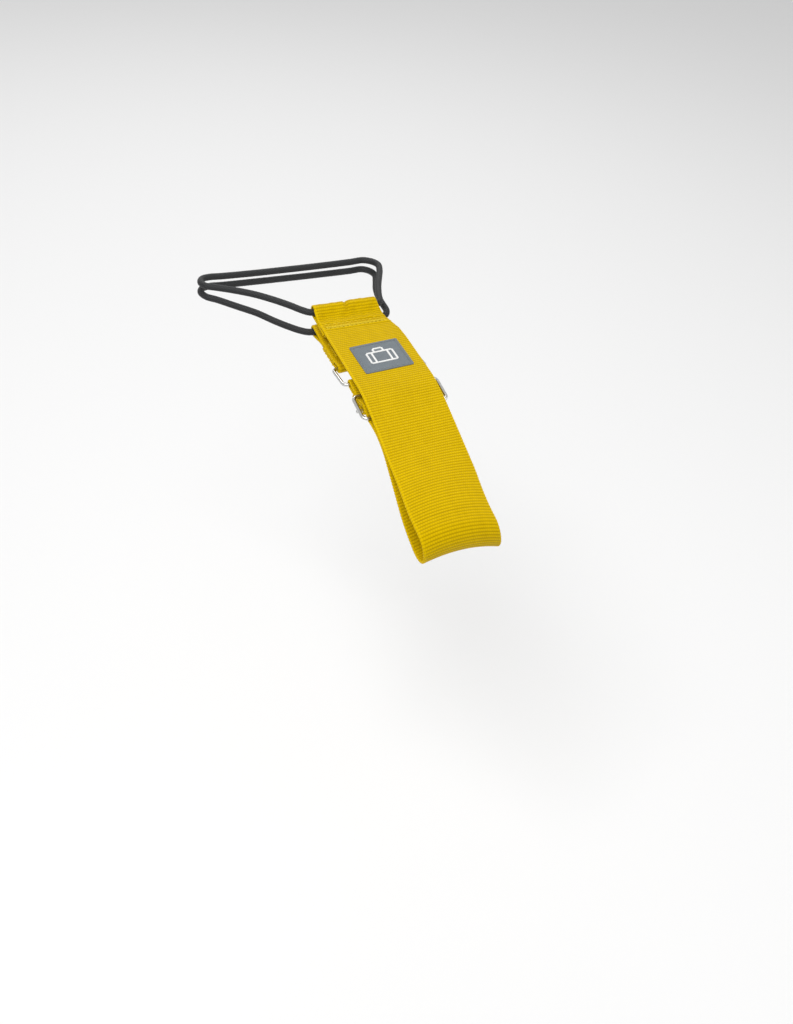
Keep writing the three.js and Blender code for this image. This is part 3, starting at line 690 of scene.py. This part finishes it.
upper_cord_points = [
    in_tunnel(upper_place, 0, -sleeve_side), in_tunnel(upper_place, 0, -16), in_tunnel(upper_place, 0, -tunnel_end),
    (-8.6, -45.4, 4.4), (-15, -38.6, 5), (-24, -30, 5.6), (-34, -21.6, 6), (-46, -13.6, 6.2), (-56, -7.4, 6),
    (-62, -3.4, 5.7), (-tube_x - wrap - 0.6, 2, 5.2), (-61, 8.8, 4), (-54.5, 12, 2.8), (-tube_x + 4, wrap, 2.2),
    (-24, wrap, 1.5), (0, wrap, 1.2), (24, wrap, 1), (tube_x - 3, wrap, 1.1), (57.5, 12, 1.5), (63, 8, 1.9),
    (tube_x + wrap + 1.8, 1.5, 2.7), (63, -6.5, 3.2), (58.8, -16, 3.8), (54.6, -25, 4), (51.4, -33, 4),
    (49.2, -39.4, 4), (47.8, -44.6, 4), (46.4, -47.6, 4),
    in_tunnel(upper_place, 0, 21), in_tunnel(upper_place, 0, 14), in_tunnel(upper_place, 0, sleeve_side),
]
lower_cord_points = [
    in_tunnel(lower_place, slant, -sleeve_side), in_tunnel(lower_place, slant, -16),
    in_tunnel(lower_place, slant, -tunnel_end),
    (-8.6, -47, -10.8), (-15, -41.6, -10.2), (-23, -34.6, -8.8), (-33, -25.6, -6.4), (-45, -16.4, -4.6),
    (-55.5, -8.4, -3), (-61.8, -3.8, -2.4), (-tube_x - wrap - 0.6, 2, -2.4), (-61, 8.8, -3.4), (-54.5, 12, -4.3),
    (-tube_x + 4, wrap, -4.8), (-24, wrap, -5.3), (0, wrap, -5.7), (24, wrap, -6), (tube_x - 3, wrap, -6.1),
    (57, 11.8, -5.6), (61.6, 7.6, -5.3), (63.2, 1.2, -5.1), (60.6, -7, -5), (56.8, -17, -5), (54.6, -27, -5),
    (53.9, -37, -5.2), (53.7, -44.2, -5.5), (52, -48.3, -5.7),
    in_tunnel(lower_place, slant, tunnel_end), in_tunnel(lower_place, slant, 15),
    in_tunnel(lower_place, slant, sleeve_side),
]
for side, points, body in (("upper", upper_cord_points, "upper_loop"), ("lower", lower_cord_points, "lower_loop")):
    line, far = spline_through(points)
    loop = build(f"{side}_loop_cord", [tube_grid(line, far, CORD_DIAMETER / 2, 48, braid)], black)
    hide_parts(f"{side}_elastic_loop")
    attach(loop, body)
    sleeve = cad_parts[f"{side}_crimp_sleeve"]
    sleeve.data.materials.clear()
    sleeve.data.materials.append(brass)


# ---- Webbing ----

def hem_ruffle(s, across):
    """Puckers between the tunnel's fold and its stitching, a crease in the fold, the dip that the stitches pull, and
    the step over the hem's cut end."""
    behind = s - TUNNEL_TOP
    over_fold = smooth(s, TUNNEL_TOP - 12, TUNNEL_TOP - 8) * (1 - smooth(s, HEM_SEAM - 2, HEM_SEAM - 0.4))
    open_cloth = 0.25 + 0.75 * smooth(s, TUNNEL_TOP - 4, TUNNEL_TOP + 1)
    puckers = 0.26 * np.sin(0.83 * across + 0.35 * behind) + 0.22 * np.sin(1.37 * across - 0.5 * behind + 2.1)
    puckers = puckers + 0.18 * np.sin(0.37 * across + 0.7 * behind + 1)
    raised = 0.5 * smooth(across, -2.1, -1.2)
    crease = -1.7 * np.exp(-((across + 2.2 + 0.12 * behind) / 0.75) ** 2)
    crease = crease * (1 - smooth(s, TUNNEL_TOP - 1, HEM_SEAM - 1))
    between_rows = 0.22 * np.sin(1.25 * across + 1) * np.exp(-((s - (HEM_SEAM + BARTACK) / 2) / 1.4) ** 2)
    dip = -0.3 * np.exp(-((s - HEM_SEAM) / 0.7) ** 2) - 0.25 * np.exp(-((s - BARTACK) / 0.9) ** 2)
    under_end = main.at_y(2, HEM_END[0])
    step = (0.42 + 0.1 * np.sin(0.7 * across)) * smooth(s, HEM_SEAM, BARTACK)
    step = step * (1 - smooth(s, under_end - 0.6, under_end + 0.9))
    return -(over_fold * (0.3 + open_cloth * puckers + raised + crease) + between_rows + dip + step)


def hem_calm(s):
    """The ribs are pulled nearly flat where the cloth is drawn round the cord."""
    return 0.25 + 0.75 * smooth(s, HEM_SEAM - 1, BARTACK + 6)


def webbing(name, route, start, end, ply, nodes, ruffle=None, calm=None):
    piece = build(name, [webbing_grid(route, start, end, ply, ruffle, calm)], yellow)
    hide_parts(*nodes)
    return piece


def blend_between(piece, route, ply, start, end):
    """The piece that lies between two bodies, from one distance along its route to another: its transform is baked into
    its mesh and it is attached to neither body; the points at its two ends are worked out but not used.
    """
    ends = [route.place(np.array([s, 0.0, 0.0]), ply) * MM for s in (start, end)]
    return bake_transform(piece)


upper_ply = webbing("upper_ply", main, 0, BEND_START, UPPER, ["upper_webbing"], hem_ruffle, hem_calm)
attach(upper_ply, "strap")
bend = webbing("handle_bend", main, BEND_START, BEND_END, UPPER, ["handle_bend_webbing"])
blend_between(bend, main, UPPER, BEND_START, BEND_END)
lower_ply = webbing("lower_ply", main, BEND_END, FEED_START, LOWER, ["lower_webbing"])
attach(lower_ply, "lower_strap")
feed = webbing("feed_ply", main, FEED_START, WEAVE_START, LOWER, ["feed_webbing"])
blend_between(feed, main, LOWER, FEED_START, WEAVE_START)
weave = webbing("slider_weave", main, WEAVE_START, WEAVE_END, LOWER, ["slider_weave_webbing"])
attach(weave, "slider")
turn = webbing("ring_turn", main, WEAVE_END, LOOP_END, LOWER, ["ring_turn_webbing"])
blend_between(turn, main, LOWER, main.at_y(9, -131), main.at_y(9, -121))
sewn_end = webbing("sewn_end", main, LOOP_END, main.s[-1], LOWER, ["sewn_end_webbing"])
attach(sewn_end, "slider")
tab_ply = webbing("tab_ply", tab, 0, tab.s[-1], LOWER, ["tab_webbing"])
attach(tab_ply, "tab")


# ---- Stitching ----

def sewn(name, grids, body, nodes=(), material=yellow_thread):
    piece = build(name, grids, material)
    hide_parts(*nodes)
    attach(piece, body)
    return piece


def boxed(stretch, first_y, last_y, edge=21.5):
    """Two rows across the tab, and two along its edges from the first Y to the last."""
    first, last = tab.at_y(stretch, first_y), tab.at_y(stretch, last_y)
    grids = []
    for row_y in TAB_ROWS_Y:
        grids += seam_across(tab, LOWER, tab.at_y(stretch, row_y), -CLOTH)
    for side in (-edge, edge):
        grids += seam(tab, LOWER, (first, side), (last, side), -CLOTH)
    return grids


under_hem = main.at_y(0, -61)
sewn("hem_stitching", seam_across(main, UPPER, HEM_SEAM, -CLOTH), "strap", ["upper_tunnel_seam"])
sewn("hem_stitching_below", seam_across(main, UPPER, under_hem, -CLOTH), "strap")
bartack = zigzag(main, UPPER, BARTACK, -CLOTH - 0.35, -22, 21)
bartack += seam_across(main, UPPER, BARTACK + 1.5, -CLOTH - 0.4)
sewn("hem_bartack", bartack, "strap", ["upper_tunnel_bartack"])

sewn("tab_box_stitching", boxed(3, *TAB_ROWS_Y), "tab", ["tab_upper_seam"])
sewn("tab_box_stitching_below", boxed(6, *reversed(TAB_ROWS_Y)), "tab", ["tab_lower_seam"])
tail_rows = []
for row_y in TAIL_ROWS_Y:
    tail_rows += seam_across(main, LOWER, main.at_y(12, row_y), -CLOTH)
sewn("sewn_end_stitching", tail_rows, "slider", ["sewn_end_seam"])

tail_sides = side_fray(main, LOWER, main.s[-1] - 6, main.s[-1], -WIDTH / 2, 9)
tail_sides += side_fray(main, LOWER, main.s[-1] - 6, main.s[-1], WIDTH / 2, 7)
sewn("sewn_end_fray", frayed_end(main, LOWER, main.s[-1], 1) + tail_sides, "slider")
sewn("hem_end_fray", frayed_end(main, UPPER, 0, -1), "strap")
tab_sides = side_fray(tab, LOWER, tab.s[-1] - 20, tab.s[-1], -WIDTH / 2, 22)
tab_sides += side_fray(tab, LOWER, tab.at_y(3, -70), tab.at_y(3, -88), -WIDTH / 2, 16)
sewn("tab_outer_fray", frayed_end(tab, LOWER, tab.s[-1], 1) + tab_sides, "tab")
sewn("tab_inner_fray", frayed_end(tab, LOWER, 0, -1), "tab")


# ---- Ring and slider ----

def in_stack(points, place, tilt):
    """Points of a rigid piece (across, along its tilt, up) under the label, where the whole stack is rolled."""
    x, far, up_by = points[..., 0], points[..., 1], points[..., 2]
    y = place[0] + far * math.cos(tilt) - up_by * math.sin(tilt)
    over = place[1] + far * math.sin(tilt) + up_by * math.cos(tilt) - ROLL_AXIS_Z
    roll = math.radians(STACK_ROLL)
    return np.stack([
        STRAP_X + x * math.cos(roll) - over * math.sin(roll), y,
        ROLL_AXIS_Z + x * math.sin(roll) + over * math.cos(roll),
    ], axis=-1)


def rod_grid(start, end, radius, sides=20):
    """A straight rod along X whose ends are rounded."""
    half = (end - start) / 2
    middle = np.linspace(-half + 1, half - 1, 24)
    x = np.concatenate([[-half, -half + 0.12, -half + 0.4], middle, [half - 0.4, half - 0.12, half]])
    reach = radius * np.clip(1 - ((np.abs(x) - half + 0.7) / 0.9).clip(0) ** 2, 0.3, 1)
    turn = np.linspace(0, 2 * math.pi, sides + 1)
    rings = np.stack([
        (start + half + x)[:, None] + 0 * turn[:-1],
        reach[:, None] * np.cos(turn[:-1]),
        reach[:, None] * np.sin(turn[:-1]),
    ], axis=-1)
    return rings, turn * radius, x - x[0]


def wire_grid(length, sides=20):
    """A closed rectangle of round wire, from the weld in the middle of its far bar and back to it."""
    corners = [(1, length - WIRE_CORNER, 0), (-1, length - WIRE_CORNER, 1), (-1, WIRE_CORNER, 2), (1, WIRE_CORNER, 3)]
    line = [(x, length) for x in (2.0, 0.9, 0.3, -0.3, -0.9, -2.0)]
    outward = [(0, 1)] * len(line)
    for sign, y, quarter in corners[1:] + corners[:1]:
        for k in range(11):
            angle = (quarter + k / 10) * math.pi / 2
            out = (math.cos(angle), math.sin(angle))
            line.append((sign * (LEG_X - WIRE_CORNER) + WIRE_CORNER * out[0], y + WIRE_CORNER * out[1]))
            outward.append(out)
    line.append(line[0])
    outward.append(outward[0])
    line, outward = np.array(line), np.array(outward)
    weld = np.ones(len(line))
    weld[2:4] = 1.09
    turn = np.linspace(0, 2 * math.pi, sides + 1)
    reach = WIRE_DIAMETER / 2 * weld[:, None]
    spread = reach * np.cos(turn[:-1])
    rings = np.stack([
        line[:, :1] + outward[:, :1] * spread,
        line[:, 1:] + outward[:, 1:] * spread,
        reach * np.sin(turn[:-1]),
    ], axis=-1)
    far = np.concatenate([[0], np.cumsum(np.linalg.norm(np.diff(line, axis=0), axis=1))])
    return rings, turn * WIRE_DIAMETER / 2, far


def wire_piece(name, shapes, place, tilt, body, nodes):
    grids = [(in_stack(rings, place, tilt), u, v) for rings, u, v in shapes]
    piece = build(name, grids, nickel)
    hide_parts(*nodes)
    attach(piece, body)
    return piece


bar_half = LEG_X + WIRE_DIAMETER / 2
bar_rings, bar_u, bar_v = rod_grid(-bar_half, bar_half, WIRE_DIAMETER / 2)
bar_rings = bar_rings + np.array([0, SLIDER_LENGTH / 2, -WIRE_DIAMETER - CLEARANCE])
wire_piece("ring_wire", [wire_grid(RING_LENGTH)], RING_LOWER_BAR, RING_TILT, "ring", ["tab_ring"])
wire_piece("slider_wire", [wire_grid(SLIDER_LENGTH)], SLIDER_LOWER_BAR, SLIDER_TILT, "slider", ["slider_frame"])
wire_piece("slider_cross_bar", [(bar_rings, bar_u, bar_v)], SLIDER_LOWER_BAR, SLIDER_TILT, "slider", ["slider_bar"])


# ---- Label ----

LABEL_S = main.at_y(3, LABEL_Y)
LABEL_TOP = CLOTH + 0.62


def on_label(x, y, height):
    """A flat point of the upper ply from one of the label's own, x across and y towards the hem, a little askew."""
    turned_x = x * math.cos(LABEL_SKEW) - y * math.sin(LABEL_SKEW)
    turned_y = y * math.cos(LABEL_SKEW) + x * math.sin(LABEL_SKEW)
    return (LABEL_S - turned_y, LABEL_X + turned_x, -height)


def rounded_outline(width, length, radius, side_points=12):
    """Points round a rectangle with round corners, the same number for any size."""
    x, y = width / 2 - radius, length / 2 - radius
    corners = [(x, y), (-x, y), (-x, -y), (x, -y)]
    outline = []
    for quarter, (corner_x, corner_y) in enumerate(corners):
        for k in range(6):
            angle = (quarter + k / 5) * math.pi / 2
            outline.append((corner_x + radius * math.cos(angle), corner_y + radius * math.sin(angle)))
        start, (next_x, next_y) = outline[-1], corners[(quarter + 1) % 4]
        angle = (quarter + 1) * math.pi / 2
        end = (next_x + radius * math.cos(angle), next_y + radius * math.sin(angle))
        for k in range(1, side_points):
            share = k / side_points
            outline.append((start[0] + (end[0] - start[0]) * share, start[1] + (end[1] - start[1]) * share))
    return outline


# From the cloth up the label's side, over the border where its edge is turned under, to its soft middle.
LABEL_RINGS = [
    (0, CLOTH - 0.1), (-0.05, CLOTH + 0.2), (0.1, LABEL_TOP - 0.12), (0.4, LABEL_TOP), (1.2, LABEL_TOP),
    (1.7, LABEL_TOP - 0.16), (4, LABEL_TOP - 0.1), (9, LABEL_TOP - 0.06), (13.5, LABEL_TOP - 0.05),
]
label_outlines = [
    (rounded_outline(LABEL_WIDTH - 2 * inset, LABEL_LENGTH - 2 * inset, max(1.2 - inset, 0.3)), height)
    for inset, height in LABEL_RINGS
]
label_flat = np.array([[on_label(x, y, height) for x, y in outline] for outline, height in label_outlines])
no_uv = np.zeros(label_flat.shape[1] + 1)
label = build("label", [(main.place(label_flat, UPPER), no_uv, np.zeros(len(LABEL_RINGS)))], grey)
corner_vertex = np.zeros(len(label.data.loops), np.int32)
label.data.loops.foreach_get("vertex_index", corner_vertex)
label_uv = label_flat[..., [1, 0]].reshape(-1, 2)[corner_vertex]
label.data.uv_layers["flat"].data.foreach_set("uv", label_uv.astype(np.float32).ravel())
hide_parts("woven_label")
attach(label, "strap")

seam_x, seam_y = LABEL_WIDTH / 2 - 1.5, LABEL_LENGTH / 2 - 1.5
seam_corners = [
    on_label(x, y, 0)[:2]
    for x, y in ((seam_x, seam_y), (-seam_x, seam_y), (-seam_x, -seam_y), (seam_x, -seam_y))
]
label_seams = []
for start, end in zip(seam_corners, seam_corners[1:] + seam_corners[:1]):
    label_seams += seam(main, UPPER, start, end, 0.1 - LABEL_TOP, 2.2)
sewn("label_stitching", label_seams, "strap", ["label_seam_thread"], grey_thread)


def satin(x0, y0, x1, y1):
    """A bar of satin stitch between two points of the emblem, which sits a little below the label's middle."""
    steps = max(6, round(math.dist((x0, y0), (x1, y1)) / 0.5))
    path = [on_label(x0 + (x1 - x0) * k / steps, y0 + (y1 - y0) * k / steps - 1, LABEL_TOP) for k in range(steps + 1)]
    return thread_grid(main, UPPER, path, 0.72, 0.62)


# A plain suitcase with two straps and a handle.
CASE_WIDTH = 19
CASE_HEIGHT = 12
LINE = 1.3
GRIP_WIDTH = 7.6
GRIP_HEIGHT = 3.6
STRAP_AT = 5.4
case_x, case_y, grip_x = (CASE_WIDTH - LINE) / 2, (CASE_HEIGHT - LINE) / 2, (GRIP_WIDTH - LINE) / 2
grip_top = CASE_HEIGHT / 2 + GRIP_HEIGHT - LINE / 2
emblem = [
    satin(-case_x, -case_y, case_x, -case_y), satin(-case_x, case_y, case_x, case_y),
    satin(-case_x, -case_y, -case_x, case_y), satin(case_x, -case_y, case_x, case_y),
    satin(-STRAP_AT, -case_y, -STRAP_AT, case_y), satin(STRAP_AT, -case_y, STRAP_AT, case_y),
    satin(-grip_x, case_y, -grip_x, grip_top), satin(grip_x, case_y, grip_x, grip_top),
    satin(-grip_x, grip_top, grip_x, grip_top),
]
sewn("emblem", emblem, "strap", ["label_emblem"], white_thread)


# ---- Floor and light ----

# How far below the bend the lower run reaches when it hangs open, and half of the floor's side in metres.
FOLD_REACH = 270
FLOOR_HALF = 6


def floor_material():
    g = Graph("floor", Roughness=0.9)
    tone = g.noise((3.0, 3.0))
    return g.finish(g.mix(tone, (0.83, 0.83, 0.83), (0.87, 0.87, 0.87)))


lowest = cad_box[0].z - FOLD_REACH * MM
floor_mesh = bpy.data.meshes.new("floor")
floor_corners = [(x * FLOOR_HALF, y * FLOOR_HALF, lowest) for x, y in ((-1, -1), (1, -1), (1, 1), (-1, 1))]
floor_mesh.from_pydata(floor_corners, [], [(0, 1, 2, 3)])
floor_mesh.uv_layers.new(name="flat")
floor_mesh.materials.append(floor_material())
floor = bpy.data.objects.new("floor", floor_mesh)
bpy.context.scene.collection.objects.link(floor)

middle = (cad_box[0] + cad_box[1]) / 2


def softbox(name, place, size, power):
    light = bpy.data.objects.new(name, bpy.data.lights.new(name, "AREA"))
    light.data.shape = "RECTANGLE"
    light.data.size, light.data.size_y = size
    light.data.energy = power
    light.location = middle + Vector(place)
    light.rotation_euler = (-Vector(place)).to_track_quat("-Z", "Y").to_euler()
    bpy.context.scene.collection.objects.link(light)


softbox("key", (-0.5, -0.35, 1.1), (0.8, 0.6), 10)
softbox("fill", (1.1, -0.7, 0.8), (1.0, 1.0), 4)
softbox("rim", (0.2, 1.2, 0.9), (0.9, 0.5), 5)
world = bpy.data.worlds.new("studio")
world.use_nodes = True
sky = world.node_tree.nodes["Background"]
sky.inputs["Color"].default_value = (1, 1, 1, 1)
sky.inputs["Strength"].default_value = 0.62
bpy.context.scene.world = world
bpy.context.scene.view_settings.view_transform = "Standard"
